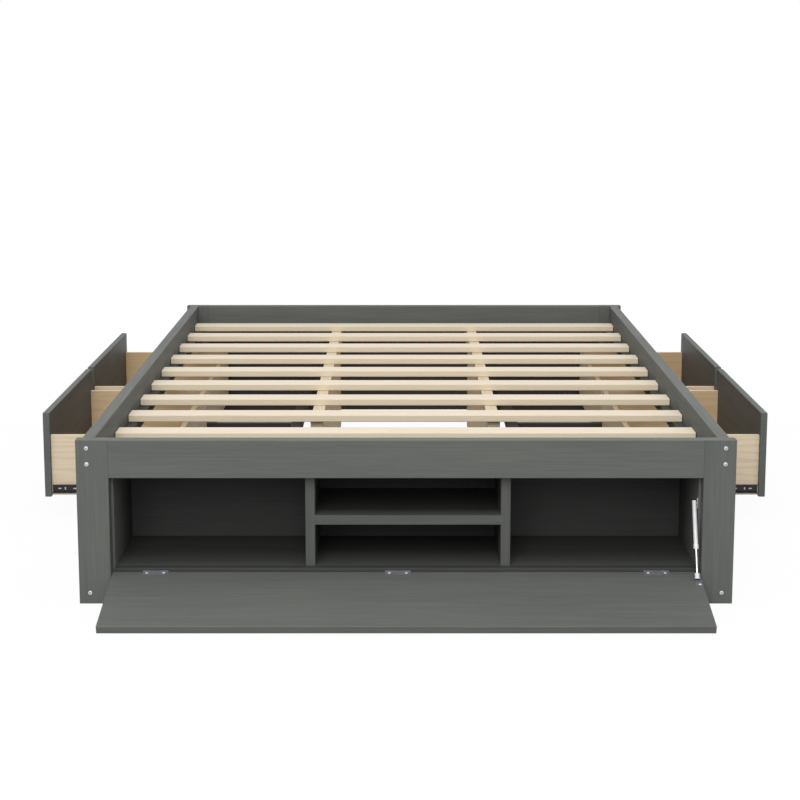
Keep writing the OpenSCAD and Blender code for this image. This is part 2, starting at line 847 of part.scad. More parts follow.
on_side(left) post(0);  // foot_post_left
post(0);  // foot_post_right
on_side(left) post(head_face);  // head_post_left
post(head_face);  // head_post_right
end_rail(0);  // foot_rail
end_rail(head_face);  // head_rail
on_side(left) side_rail();  // side_rail_left
side_rail();  // side_rail_right
on_side(left) lower_rail();  // lower_rail_left
lower_rail();  // lower_rail_right
head_board();
slat_ledgers();
slats();
on_side(left) centre_beam();  // centre_beam_left
centre_beam();  // centre_beam_right
beam_panels();
cabinet_floor();
cabinet_top();
cabinet_back();
on_side(left) cabinet_side();  // cabinet_side_left
cabinet_side();  // cabinet_side_right
shelf_place() on_side(left) partition();  // partition_left
shelf_place() partition();  // partition_right
shelf_place() shelf();
plinth();
on_side(left) side_panel();  // side_panel_left
side_panel();  // side_panel_right
side_stiles();
runner_boards();
inner_bars();
slide_channels();
corner_bolts();
hinge_leaves_fixed();
hinge_pins();
stay_bracket_upper();
flap();
hinge_leaves_flap();
stay_bracket_lower();
stay_tube();
stay_rod();
drawer_front(foot_bay, left);  // drawer_front_foot_left
drawer_front(foot_bay, right);  // drawer_front_foot_right
drawer_front(head_bay, left);  // drawer_front_head_left
drawer_front(head_bay, right);  // drawer_front_head_right
drawer_box(foot_bay, left);  // drawer_box_foot_left
drawer_box(foot_bay, right);  // drawer_box_foot_right
drawer_box(head_bay, left);  // drawer_box_head_left
drawer_box(head_bay, right);  // drawer_box_head_right
drawer_bottom(foot_bay, left);  // drawer_bottom_foot_left
drawer_bottom(foot_bay, right);  // drawer_bottom_foot_right
drawer_bottom(head_bay, left);  // drawer_bottom_head_left
drawer_bottom(head_bay, right);  // drawer_bottom_head_right
slide_inner(foot_bay, left);  // slide_inner_foot_left
slide_inner(foot_bay, right);  // slide_inner_foot_right
slide_inner(head_bay, left);  // slide_inner_head_left
slide_inner(head_bay, right);  // slide_inner_head_right
slide_middle(foot_bay, left);  // slide_middle_foot_left
slide_middle(foot_bay, right);  // slide_middle_foot_right
slide_middle(head_bay, left);  // slide_middle_head_left
slide_middle(head_bay, right);  // slide_middle_head_right
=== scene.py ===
# %% [markdown]
# # A tatami platform bed, dressed over its CAD model
#
# The bed's boards, slides, hinges and stay come from the CAD model as named
# nodes. This lesson gives each of them a finish, adds the small screws that the
# model leaves out, and sets up a plain studio with the camera of the shop
# picture. All lengths are metres, with the bed's foot end towards -Y.

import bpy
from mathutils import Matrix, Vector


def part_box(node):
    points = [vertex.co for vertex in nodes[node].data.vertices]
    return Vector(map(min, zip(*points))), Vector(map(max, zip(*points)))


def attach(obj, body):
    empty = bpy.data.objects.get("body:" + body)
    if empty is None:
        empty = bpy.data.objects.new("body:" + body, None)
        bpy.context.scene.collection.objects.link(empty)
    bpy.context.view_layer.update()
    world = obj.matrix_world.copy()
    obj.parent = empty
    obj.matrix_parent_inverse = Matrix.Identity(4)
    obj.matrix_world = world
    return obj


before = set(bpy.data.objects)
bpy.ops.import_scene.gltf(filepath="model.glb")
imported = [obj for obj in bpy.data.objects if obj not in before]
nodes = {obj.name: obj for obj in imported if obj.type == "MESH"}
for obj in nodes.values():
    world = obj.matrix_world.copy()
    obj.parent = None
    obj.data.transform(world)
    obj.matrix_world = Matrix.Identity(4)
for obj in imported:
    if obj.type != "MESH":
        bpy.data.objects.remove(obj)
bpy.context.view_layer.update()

import math

import bpy
from mathutils import Matrix, Vector

bpy.ops.object.select_all(action="DESELECT")

# %% [markdown]
# ## Shader maths that reads like maths
#
# A procedural finish is a sum of small patterns. Drawing them as nodes by hand
# hides the sum, so one class wraps a socket and lets Python's own operators add
# the Math nodes. Each operator has its reflected form too, so that a number may
# stand on either side. Every other kind of node comes from one method.

# %% A wrapped socket
class Wave:
    """A value that varies over a surface, held as a node's output socket."""

    def __init__(self, finish, socket):
        self.finish = finish
        self.socket = socket

    def math(self, operation, *values):
        settings = {"operation": operation}
        return self.finish.put("ShaderNodeMath", settings, dict(enumerate(values)))

    def __add__(self, other):
        return self.math("ADD", self, other)

    def __radd__(self, other):
        return self.math("ADD", other, self)

    def __sub__(self, other):
        return self.math("SUBTRACT", self, other)

    def __rsub__(self, other):
        return self.math("SUBTRACT", other, self)

    def __mul__(self, other):
        return self.math("MULTIPLY", self, other)

    def __rmul__(self, other):
        return self.math("MULTIPLY", other, self)

    def __truediv__(self, other):
        return self.math("DIVIDE", self, other)

    def __rtruediv__(self, other):
        return self.math("DIVIDE", other, self)

    def __pow__(self, other):
        return self.math("POWER", self, other)

    def __rpow__(self, other):
        return self.math("POWER", other, self)

    def __lt__(self, other):
        return self.math("LESS_THAN", self, other)

    def __gt__(self, other):
        return self.math("GREATER_THAN", self, other)

    def __abs__(self):
        return self.math("ABSOLUTE", self)

    def floor(self):
        return self.math("FLOOR", self)

    def cycle(self):
        return self.math("FRACT", self)

    def between(self, low, high):
        """0 below low, 1 above high, and smooth on the way."""
        settings = {"interpolation_type": "SMOOTHSTEP"}
        sockets = {"Value": self, "From Min": low, "From Max": high}
        return self.finish.put("ShaderNodeMapRange", settings, sockets)


print("Wave:", Wave.__doc__)

# %% A material that hands out wrapped sockets
class Finish:
    """A material, or a world, under construction. x, y and z are Object coordinates."""

    def __init__(self, name, world=None):
        self.material = world or bpy.data.materials.new(name)
        self.material.use_nodes = True
        self.tree = self.material.node_tree
        self.tree.nodes.clear()
        self.place = self.put("ShaderNodeTexCoord", {}, {}, "Object")
        self.x, self.y, self.z = (
            self.put("ShaderNodeSeparateXYZ", {}, {"Vector": self.place}, axis) for axis in "XYZ"
        )

    def put(self, kind, settings, sockets, output=0):
        node = self.tree.nodes.new(kind)
        for key, value in settings.items():
            setattr(node, key, value)
        for key, value in sockets.items():
            if isinstance(value, Wave):
                self.tree.links.new(value.socket, node.inputs[key])
            else:
                node.inputs[key].default_value = value
        return Wave(self, node.outputs[output]) if node.outputs else None

    def vector(self, x, y, z):
        return self.put("ShaderNodeCombineXYZ", {}, {"X": x, "Y": y, "Z": z})

    def noise(self, vector, scale, detail, roughness=0.5):
        sockets = {"Vector": vector, "Scale": scale, "Detail": detail, "Roughness": roughness}
        return self.put("ShaderNodeTexNoise", {}, sockets)

    def seen(self):
        """1 for the camera and for what shows in gloss or glass, 0 for plain light."""
        kinds = ("Is Camera Ray", "Is Glossy Ray", "Is Transmission Ray")
        camera, gloss, glass = (self.put("ShaderNodeLightPath", {}, {}, kind) for kind in kinds)
        return camera + gloss + glass

    def blend(self, amount, first, second):
        """A colour between two others, each a wave or three numbers."""
        ports = {0: amount}
        for key, value in ((6, first), (7, second)):
            ports[key] = value if isinstance(value, Wave) else (*value, 1.0)
        return self.put("ShaderNodeMix", {"data_type": "RGBA"}, ports, 2)

    def close(self, colour, height, relief, **sockets):
        """Ends the material in a Principled shader whose bumps are relief metres deep."""
        sockets = {key.replace("_", " "): value for key, value in sockets.items()}
        bump = {"Height": height, "Strength": 1.0, "Distance": relief}
        sockets["Normal"] = self.put("ShaderNodeBump", {}, bump)
        sockets["Base Color"] = colour
        shader = self.put("ShaderNodeBsdfPrincipled", {}, sockets)
        self.put("ShaderNodeOutputMaterial", {}, {"Surface": shader})
        return self.material


def dress(names, material):
    """Gives CAD nodes a material through their own slots."""
    for name in names:
        for slot in nodes[name].material_slots:
            slot.material = material
    print(material.name, "on", len(names), "nodes")


print("Finish:", Finish.__doc__)

# %% [markdown]
# ## Grey satin paint on wood
#
# The posts, rails, fronts and cabinet boards are solid wood under a thin grey
# satin coat, so the grain still shows as faint darker streaks along each board,
# and the coat sinks a little into it. A picture of painted wood could be laid
# over the boards, but each would need unwrapping, and the picture would repeat.
# Noise in the object's own coordinates needs neither. Drawn out along the grain
# it turns into streaks, so one recipe serves every board if it is told which
# way the grain runs.

# %% Colour and grain of the painted boards
GREY = (0.1085, 0.1135, 0.1045)
SHADE = (0.055, 0.0545, 0.0515)
HIDDEN_SHADE = (0.038, 0.033, 0.0285)
STREAK_DARK = (0.84, 0.86, 0.87)  # shares of the paint's own colour
STREAK_PALE = (1.13, 1.12, 1.12)
INNER_PALE = 1.2
MATT = 0.2  # specular level of satin paint and of bare pine
PAINT_RELIEF = 0.00025


def along_grain(finish, axis, stretch):
    """Object coordinates, squeezed along one axis so that noise becomes streaks."""
    coordinates = (finish.x, finish.y, finish.z)
    x, y, z = (v * (stretch if i == axis else 1.0) for i, v in enumerate(coordinates))
    return finish.vector(x, y, z)


def painted(name, axis, tone=1.0, rough=0.52, inner=None, inner_colour=SHADE):
    """Streaked grey paint. inner(finish) is 1 where inner_colour, mostly painted shade, shows.
    """
    finish = Finish(name)
    lines = finish.noise(along_grain(finish, axis, 0.03), 190.0, 4.0, 0.6)
    bands = finish.noise(along_grain(finish, axis, 0.06), 26.0, 3.0, 0.55)
    cloud = finish.noise(finish.place, 3.1, 2.0)
    streak = lines.between(0.36, 0.66) * 0.55 + bands.between(0.3, 0.7) * 0.45
    dark = tuple(c * tone * f for c, f in zip(GREY, STREAK_DARK))
    pale = tuple(c * tone * f for c, f in zip(GREY, STREAK_PALE))
    colour = finish.blend(streak * 0.8 + cloud * 0.25, dark, pale)
    if inner:
        inner_pale = tuple(c * INNER_PALE for c in inner_colour)
        under = finish.blend(streak, inner_colour, inner_pale)
        colour = finish.blend(inner(finish), colour, under)
    pores = finish.noise(along_grain(finish, axis, 0.05), 520.0, 2.0)
    height = streak * 0.5 + pores * 0.5
    gloss = rough + (cloud - 0.5) * 0.1 + (1.0 - streak) * 0.05
    return finish.close(colour, height, PAINT_RELIEF, Roughness=gloss, Specular_IOR_Level=MATT)


# %% Paint every grey board along its own grain
X, Y, Z = 0, 1, 2
sides = ("left", "right")
bays = [f"{end}_{side}" for end in ("foot", "head") for side in sides]

dress(["foot_rail", "head_rail", "flap"], painted("grey_paint_across", X))
dress(
    [f"{rail}_{side}" for rail in ("side_rail", "lower_rail", "side_panel") for side in sides],
    painted("grey_paint_along", Y),
)
# painted shade: the ledgers lie in shade beneath the slat ends, so their paint is darker
dress(["slat_ledgers"], painted("ledger_paint", Y, tone=0.33, rough=0.6))
dress(
    [f"{end}_post_{side}" for end in ("foot", "head") for side in sides] + ["side_stiles"],
    painted("grey_paint_upright", Z),
)

# %% [markdown]
# ## Darker hidden faces, mostly painted shade
#
# The backs of the drawer fronts, the boards inside the cabinet and those
# beneath the slats are darker and browner than the faces that are meant to be
# seen. Inside the cabinet and beneath the slats that darker colour is painted
# shade. Where a board has both kinds of face, the finish asks how far the
# surface is from the board's front.

# %% Drawer fronts with a darker back, paler towards its upper edge as painted light
front_low, front_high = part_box("drawer_front_foot_right")
skin = 0.0004  # a face is found by its place, give or take this much
# painted light: the back is paler towards its upper edge, which gets more light from above
TOP_LIGHT_SHARE = 0.45


def back_of_front(finish):
    """1 on the back, less towards its upper edge, where light from above is painted in."""
    lit_from_above = finish.z.between(front_low[2], front_high[2]) * TOP_LIGHT_SHARE
    return (abs(finish.x) < front_low[0] + skin) * (1.0 - lit_from_above)


dress(
    [f"drawer_front_{bay}" for bay in bays],
    painted("grey_paint_fronts", Y, inner=back_of_front),
)

# %% Shelf and partitions, whose front edges are finished like the posts, with painted shade behind them
# the colour of painted shade inside the cabinet
INSIDE_SHADE = (0.029, 0.0288, 0.027)
partition_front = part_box("partition_left")[0][1]
shelf_shade_start = partition_front + 0.0005
partition_shade_start = partition_front - 0.01


def behind(place, fade):
    """Painted shade that deepens over a distance fade behind a place."""
    return lambda finish: finish.y.between(place, place + fade)


# painted shade: these boards darken behind their front edges, where less light gets in
dress(
    ["shelf"],
    painted("shelf_paint", X, 0.8, 0.5, behind(shelf_shade_start, fade=0.06), INSIDE_SHADE),
)
dress(
    [f"partition_{side}" for side in sides],
    painted("partition_paint", Z, 0.8, 0.5, behind(partition_shade_start, fade=0.12), INSIDE_SHADE),
)

# %% [markdown]
# The cabinet's side boards stand a little behind the posts. Light from the room
# reaches their inner faces near the front and is lost towards the back, and the
# colour paints this in: painted light just behind their front edge and painted
# shade towards the back. The floor and the top fade like them as painted shade,
# and the back is dark all over, as painted shade.

# %% Sides, floor and back of the cabinet
side_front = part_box("cabinet_side_left")[0][1]
side_dark = side_front + 0.26  # light from the room gets no further
plinth_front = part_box("plinth")[0][1]
EDGE_SHADE = 0.38


def inside_cabinet_side(finish):
    """Painted shade: a little on the front edge, none just behind it, and 1 at the back."""
    edge = (finish.y < side_front + skin) * EDGE_SHADE
    return edge + finish.y.between(side_front, side_dark)


# painted light just behind the front edge, paler than the posts, and painted shade towards the
# back
dress(
    [f"cabinet_side_{side}" for side in sides],
    painted("cabinet_side_paint", Z, 1.3, 0.5, inside_cabinet_side, INSIDE_SHADE),
)
# painted shade: the plinth beneath the open flap and the cabinet's top are dark, the top darker
# further in
dress(
    ["cabinet_top", "plinth"],
    painted("inner_paint_across", X, 0.43, 0.55, behind(plinth_front, fade=0.24), INSIDE_SHADE),
)
# painted shade: the cabinet's floor darkens behind the plinth
dress(
    ["cabinet_floor"],
    painted("cabinet_floor_paint", X, 0.7, 0.55, behind(plinth_front, fade=0.16), INSIDE_SHADE),
)
# painted shade: the cabinet's back is dark all over
dress(["cabinet_back"], painted("cabinet_back_paint", X, tone=0.33, rough=0.55))

# %% [markdown]
# The head board, the boards that carry the slides and the bars behind the
# drawers show only as dark strips between the slats, where they lie in shade.
# Plain black would look like a hole, so they keep the grain of the other boards,
# in a darker, browner colour that is painted shade. The head board has that
# painted shade on its inner half alone.

# %% Boards that show only between the slats
head_low, head_high = (corner[1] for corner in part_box("head_board"))


def inside_head(finish):
    """1 on the half of the head board that faces the slats."""
    return finish.y < (head_low + head_high) / 2


def all_over(finish):
    """1 everywhere: these boards have the painted shade on every face."""
    return 1.0


# painted shade: the dark brown of these boards stands for the shade between the slats
dress(["head_board"], painted("head_board_paint", X, 0.95, 0.52, inside_head, HIDDEN_SHADE))
dress(["runner_boards"], painted("hidden_paint_across", X, 0.5, 0.6, all_over, HIDDEN_SHADE))
dress(["inner_bars"], painted("hidden_paint_along", Y, 0.5, 0.6, all_over, HIDDEN_SHADE))

# %% [markdown]
# ## Bare pine
#
# The slats, the centre beams and the drawer boxes are planed pine without any
# coat. A board is cut from a trunk, so its grain is where the saw met the
# year rings: a distance from a heart line that runs along the board, wavered a
# little, gives rings that show as long arches on the face and as close lines on
# the edge. Stripes on each face would be simpler, but they wouldn't meet at the
# edges. Each board has its own heart, so that no two slats look alike.

# %% A recipe for pine
PINE_EARLY = (0.74, 0.64, 0.49)
PINE_LATE = (0.60, 0.475, 0.315)
PINE_RELIEF = 0.00018


def pine_colour(finish, axis, seed, heart, pale=PINE_EARLY, deep=PINE_LATE, ring=0.0042):
    """Year rings about a heart line, plus fibres, as (colour, height)."""
    coordinates = [finish.x, finish.y, finish.z]
    run = coordinates[axis]
    a, b = (c for i, c in enumerate(coordinates) if i != axis)
    drift = finish.vector(run * 1.6 + seed * 7.3, a * 9.0, b * 9.0 + seed * 3.1)
    waver = finish.noise(drift, 1.0, 2.0)
    far = ((a - heart[0]) ** 2.0 + (b - heart[1]) ** 2.0) ** 0.5
    turn = (far / ring + waver * 7.0).cycle()
    late = turn.between(0.35, 0.86) * (1.0 - turn.between(0.88, 0.99))
    fibres = finish.noise(along_grain(finish, axis, 0.03), 420.0, 3.0, 0.6)
    tint = finish.noise(finish.vector(run * 0.8, a * 3.0 + seed * 11.0, b * 3.0), 1.0, 1.0)
    amount = late * 0.34 + fibres.between(0.35, 0.75) * 0.2 + (tint - 0.5) * 0.3
    return finish.blend(amount, pale, deep), late * 0.6 + fibres * 0.4


def random_shares(finish, seed, count):
    """Numbers from 0 to 1 that stay the same all over one board."""
    settings = {"noise_dimensions": "2D"}
    spots = [finish.vector(seed, 3.7 * (i + 1), 0.0) for i in range(count)]
    return [finish.put("ShaderNodeTexWhiteNoise", settings, {"Vector": spot}) for spot in spots]


print("pine from", PINE_EARLY, "to", PINE_LATE)

# %% The slats, each from its own place in the trunk
slat_low, slat_high = (corner[1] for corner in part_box("slats"))
slat_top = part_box("slats")[1][2]
SLAT_TINT = (0.68, 0.565, 0.41)
# painted light on the slats' top faces
TOP_LIGHT_TINT = (0.66, 0.60, 0.51)
slat_count = 10
slat_width = 0.063
slat_pitch = (slat_high - slat_low - slat_width) / (slat_count - 1)
gap_reach = 0.05  # slats are numbered from this far in front of the first
top_face_depth = 0.001
print("slats every", round(slat_pitch, 4), "m")


def slat_pine():
    finish = Finish("pine_slats")
    number = ((finish.y - (slat_low - gap_reach)) / slat_pitch).floor()
    side, depth, tone = random_shares(finish, number, 3)
    middle = number * slat_pitch + (slat_low + slat_width / 2)
    heart = (middle + (side - 0.5) * 0.07, 0.30 - depth * 0.05)
    colour, height = pine_colour(finish, X, number, heart)
    tint_and_top_light = finish.blend(tone * 0.25, colour, SLAT_TINT)
    # painted light: the top face is paler and greyer, as it takes the light from above
    painted_top_light = (finish.z > slat_top - top_face_depth) * 0.5
    tint_and_top_light = finish.blend(painted_top_light, tint_and_top_light, TOP_LIGHT_TINT)
    gloss = 0.55 + height * 0.12
    return finish.close(tint_and_top_light, height, PINE_RELIEF, Roughness=gloss, Specular_IOR_Level=MATT)


dress(["slats"], slat_pine())

# %% [markdown]
# The two centre beams carry the slats in the middle, along the bed. The slats'
# own finish would run its grain across them and leave them too bright for their
# place in the shade, so they get the same recipe, turned and duller.

# %% The two centre beams
BEAM_EARLY = (0.62, 0.53, 0.40)
BEAM_LATE = (0.49, 0.385, 0.255)
beam_x = sum(corner[0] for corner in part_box("centre_beam_right")) / 2
print("beams at", round(beam_x, 4), "m from the middle")


def beam_pine():
    finish = Finish("pine_beams")
    number = finish.x > 0.0
    side, depth = random_shares(finish, number, 2)
    heart = ((number * 2.0 - 1.0) * beam_x + (side - 0.5) * 0.03, 0.27 + depth * 0.03)
    colour, height = pine_colour(finish, Y, number, heart, BEAM_EARLY, BEAM_LATE)
    return finish.close(colour, height, PINE_RELIEF, Roughness=0.6, Specular_IOR_Level=MATT)


dress([f"centre_beam_{side}" for side in sides], beam_pine())

# %% [markdown]
# ## Drawer boxes
#
# The sides of a drawer run across the bed and its end board runs along it, and
# all three are one CAD node. Its faces could be sorted into two material slots,
# but then the node would no longer be as it came. So the finish asks where the
# surface is: a strip as deep as the end board, between the two sides, takes the
# other grain. The inner faces are a deeper colour, a painted reflection: light
# that has met pine once already is warmer.

# %% Pine that turns with the board
# painted shade: the head drawers lie behind the foot drawers' fronts, so their pine is darker
DRAWER_TONES = {
    "foot": {"pale": (0.74, 0.63, 0.475), "deep": (0.58, 0.43, 0.265)},
    "head": {"pale": (0.69, 0.565, 0.41), "deep": (0.54, 0.39, 0.235)},
}
DRAWER_DEEP = (0.36, 0.21, 0.07)
DRAWER_RING = 0.0032
FIRST_DRAWER_SEED = 20.0  # past the numbers of the slats
side_t = 0.014
end_reach = 0.0141  # just past the end board
inner_reach = 0.0008  # takes in the inner faces of the sides
outer_skin = 0.001  # leaves out the outer face of the end board


def drawer_pine(bay):
    low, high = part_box("drawer_box_" + bay)
    outer = 1.0 if bay.endswith("right") else -1.0
    end_x = low[0] if outer > 0 else high[0]
    middle = (low[1] + high[1]) / 2
    half = (high[1] - low[1]) / 2 - side_t
    finish = Finish("pine_drawer_" + bay)
    tones = DRAWER_TONES[bay.split("_")[0]]
    seed = FIRST_DRAWER_SEED + bays.index(bay)
    side_number = (finish.y > middle) + seed
    lean = random_shares(finish, side_number, 1)[0]
    sides_grain, side_height = pine_colour(
        finish, X, side_number, (middle, 0.13 + lean * 0.06), ring=DRAWER_RING, **tones
    )
    end_grain, end_height = pine_colour(
        finish, Y, seed, (end_x - outer * 0.05, 0.17), ring=DRAWER_RING, **tones
    )
    across = abs(finish.y - middle)
    depth = (finish.x - end_x) * outer
    is_end = (across < half) * (depth < end_reach)
    colour = finish.blend(is_end, sides_grain, end_grain)
    # painted reflection: the inner faces are deeper and warmer, from light bounced off the pine
    inside = (across < half + inner_reach) * (depth > outer_skin)
    colour = finish.blend(inside * 0.5, colour, DRAWER_DEEP)
    height = is_end * end_height + (1.0 - is_end) * side_height
    return finish.close(colour, height, PINE_RELIEF, Roughness=0.6, Specular_IOR_Level=MATT)


for bay in bays:
    dress(["drawer_box_" + bay], drawer_pine(bay))

# %% [markdown]
# ## Plain plywood
#
# The drawer bottoms and the panels beneath the beams are rotary-cut plywood. A
# peeled sheet has broad, soft, cloudy grain rather than sharp rings, so wide
# noise along the grain is closer than the ring recipe.

# %% Plywood for bottoms and beam panels
PLY_PALE = (0.70, 0.56, 0.36)
PLY_DEEP = (0.55, 0.41, 0.235)
PLY_RELIEF = 0.00015


def plywood(name, axis):
    finish = Finish(name)
    broad = finish.noise(along_grain(finish, axis, 0.12), 22.0, 4.0, 0.6)
    flame = (broad * 5.0).cycle().between(0.15, 0.9)
    fibres = finish.noise(along_grain(finish, axis, 0.04), 300.0, 3.0, 0.6)
    amount = flame * 0.35 + fibres.between(0.3, 0.75) * 0.4
    colour = finish.blend(amount, PLY_PALE, PLY_DEEP)
    return finish.close(colour, fibres, PLY_RELIEF, Roughness=0.62, Specular_IOR_Level=0.3)


dress(["beam_panels"], plywood("plywood_panels", Y))
dress(["drawer_bottom_" + bay for bay in bays], plywood("plywood_bottoms", Y))

# %% [markdown]
# ## Metal parts
#
# Bolts, pins and hinges are zinc plated: bright on the bolts, dim and blue on
# the hinge leaves, with a fine crystal pattern and hair scratches. The slides
# are steel under black zinc, which stays dark but keeps a metal's sheen. One
# recipe serves them all, and the screws too, with other colours and gloss.

# %% Zinc plate and black zinc
# the colour of painted shade in a metal part's hollows
HOLLOW_SHADE = (0.13, 0.133, 0.14)
METAL_RELIEF = 0.00003


def plated(name, colour, dark, rough, scale, metal, hollow=None):
    """Crystalline plate. hollow(finish) is 1 where painted shade makes it dull."""
    finish = Finish(name)
    cells = {"Vector": finish.place, "Scale": scale}
    crystals = finish.put("ShaderNodeTexVoronoi", {}, cells, "Distance")
    cloud = finish.noise(finish.place, 90.0, 3.0)
    hair = finish.noise(along_grain(finish, X, 0.02), 2600.0, 2.0)
    amount = crystals.between(0.1, 0.9) * 0.5 + cloud.between(0.35, 0.7) * 0.5
    gloss = rough + (cloud - 0.5) * 0.16 + (hair - 0.5) * 0.1
    plate = finish.blend(amount, colour, dark)
    if hollow:
        plate = finish.blend(hollow(finish), plate, HOLLOW_SHADE)
    return finish.close(
        plate, hair * 0.4 + crystals * 0.6, METAL_RELIEF, Metallic=metal, Roughness=gloss
    )


zinc = plated(
    "zinc_plate", (0.58, 0.59, 0.61), (0.42, 0.43, 0.46), rough=0.42, scale=900.0, metal=0.6
)
blue_zinc = plated(
    "blue_zinc_plate", (0.185, 0.187, 0.215), (0.135, 0.136, 0.16),
    rough=0.5, scale=700.0, metal=0.2,
)
black_zinc = plated(
    "black_zinc_plate", (0.03, 0.032, 0.04), (0.014, 0.015, 0.02),
    rough=0.4, scale=700.0, metal=0.6,
)
dress(["hinge_pins", "stay_bracket_upper"], zinc)
dress(["hinge_leaves_fixed", "hinge_leaves_flap", "stay_bracket_lower"], blue_zinc)
dress(
    ["slide_channels"] + [f"slide_{part}_{bay}" for part in ("inner", "middle") for bay in bays],
    black_zinc,
)

# %% [markdown]
# A bolt's head is a low dome with a hexagon socket. Its steep rim and its socket
# catch less light than the dome between them, so from a few steps away the head
# reads as a small bright ring. That shade is painted on the rim and in the socket:
# the finish measures how far the surface is from the axis of the nearest bolt.

# %% Bolt heads with a dull rim and socket
bolts_low, bolts_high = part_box("corner_bolts")
bolt_radius, socket_radius = 0.0061, 0.0029
rim_start, rim_end = 0.0046, 0.0054
SOCKET_SHADE = 0.3
bolt_pitch = 0.040
bolt_x = bolts_high[0] - bolt_radius
bolt_top = bolts_high[2] - bolt_radius
bolt_heights = (bolt_top, bolt_top - bolt_pitch, bolts_low[2] + bolt_radius)
print("bolts at", round(bolt_x, 4), "and heights", [round(z, 4) for z in bolt_heights])


def rim_and_socket(finish):
    """Painted shade: 1 on the rim of a bolt's head, and less in the socket in its middle."""
    up = abs(finish.z - bolt_heights[0])
    for height in bolt_heights[1:]:
        up = up.math("MINIMUM", up, abs(finish.z - height))
    across = abs(finish.x) - bolt_x
    far = (across ** 2.0 + up ** 2.0) ** 0.5
    return far.between(rim_start, rim_end) + (far < socket_radius) * SOCKET_SHADE


bolt_zinc = plated(
    "zinc_plate_bolts", (0.60, 0.61, 0.635), (0.50, 0.51, 0.54),
    rough=0.5, scale=900.0, metal=0.4, hollow=rim_and_socket,
)
dress(["corner_bolts"], bolt_zinc)

# %% [markdown]
# ## The flap stay
#
# The stay has a white coated tube with a collar at its lower end. Its thin rod
# is plated, and turns on the flap in a white plastic end. Rod and end are one
# CAD node, so the finish changes from metal to plastic at the end's upper rim.

# %% White coat and white plastic
WHITE = (0.70, 0.70, 0.71)
SOILED = (0.61, 0.61, 0.62)
ROD = (0.80, 0.81, 0.83)


def stay_finish(name, split=None):
    """White coat, and above the height split, where one is given, bare metal."""
    finish = Finish(name)
    orange_peel = finish.noise(finish.place, 1400.0, 2.0)
    soil = finish.noise(finish.place, 60.0, 3.0).between(0.4, 0.8)
    coat = finish.blend(soil * 0.5, WHITE, SOILED)
    if split is None:
        gloss = 0.32 + soil * 0.1
        return finish.close(coat, orange_peel, METAL_RELIEF, Roughness=gloss, Coat_Weight=0.3)
    bare = finish.z > split
    colour = finish.blend(bare, coat, ROD)
    gloss = 0.38 - bare * 0.12
    return finish.close(colour, orange_peel, METAL_RELIEF, Metallic=bare, Roughness=gloss)


rod_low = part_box("stay_rod")[0][2]
white_end_h = 0.0168
dress(["stay_tube"], stay_finish("white_tube"))
dress(["stay_rod"], stay_finish("rod_and_white_end", rod_low + white_end_h))

# %% [markdown]
# ## Small screws
#
# Countersunk cross-recess screws hold the hinges, the stay and the slides. One
# is modelled: a low cylinder whose rim is narrowed into a dome, with a cross
# cut in by a Boolean. A cross that is only painted on would go flat in a light
# from the side. Then the screw is copied to its places, each copy with a mesh of
# its own, and the copies on one body are joined, because they move together.

# %% Select faces by their normal, and model one screw
def select_faces(piece, keep):
    """In edit mode, selects the faces that keep(face) is true for."""
    bpy.ops.mesh.select_all(action="DESELECT")
    bpy.ops.object.mode_set(mode="OBJECT")
    for face in piece.data.polygons:
        face.select = keep(face)
    bpy.ops.object.mode_set(mode="EDIT")


def make_screw(head=0.0034, rise=0.0009):
    """A head of that radius, whose straight rim is as high as rise."""
    bpy.ops.mesh.primitive_cylinder_add(
        vertices=32, radius=head, depth=rise, location=(0, 0, rise / 2)
    )
    screw = bpy.context.object
    bpy.ops.object.mode_set(mode="EDIT")
    dome_steps = ((0.12 * head, 0.22 * rise), (0.3 * head, 0.22 * rise))
    for inset, lift in dome_steps:
        select_faces(screw, lambda face: face.normal.z > 0.99)
        bpy.ops.mesh.inset(thickness=inset, depth=lift)
    bpy.ops.object.mode_set(mode="OBJECT")
    cutters = []
    slot_size = (head * 1.15, head * 0.2, rise * 1.3)
    for turn in (0.0, math.pi / 2):
        bpy.ops.mesh.primitive_cube_add(
            size=1.0, location=(0, 0, rise * 1.5), rotation=(0, 0, turn)
        )
        cutter = bpy.context.object
        cutter.scale = slot_size
        cutters.append(cutter)
    for cutter in cutters:
        bpy.ops.object.select_all(action="DESELECT")
        bpy.context.view_layer.objects.active = screw
        cut = screw.modifiers.new("cross", "BOOLEAN")
        cut.operation = "DIFFERENCE"
        cut.object = cutter
        bpy.ops.object.modifier_apply(modifier=cut.name)
        bpy.data.objects.remove(cutter)
    screw.select_set(True)
    bpy.ops.object.shade_smooth_by_angle(angle=math.radians(35))
    return screw


first_screw = make_screw()
print("one screw has", len(first_screw.data.polygons), "faces")

# %% Copy the screw to its places
screw_zinc = plated(
    "bright_zinc_screws", (0.86, 0.86, 0.85), (0.74, 0.74, 0.73),
    rough=0.45, scale=1200.0, metal=0.25,
)


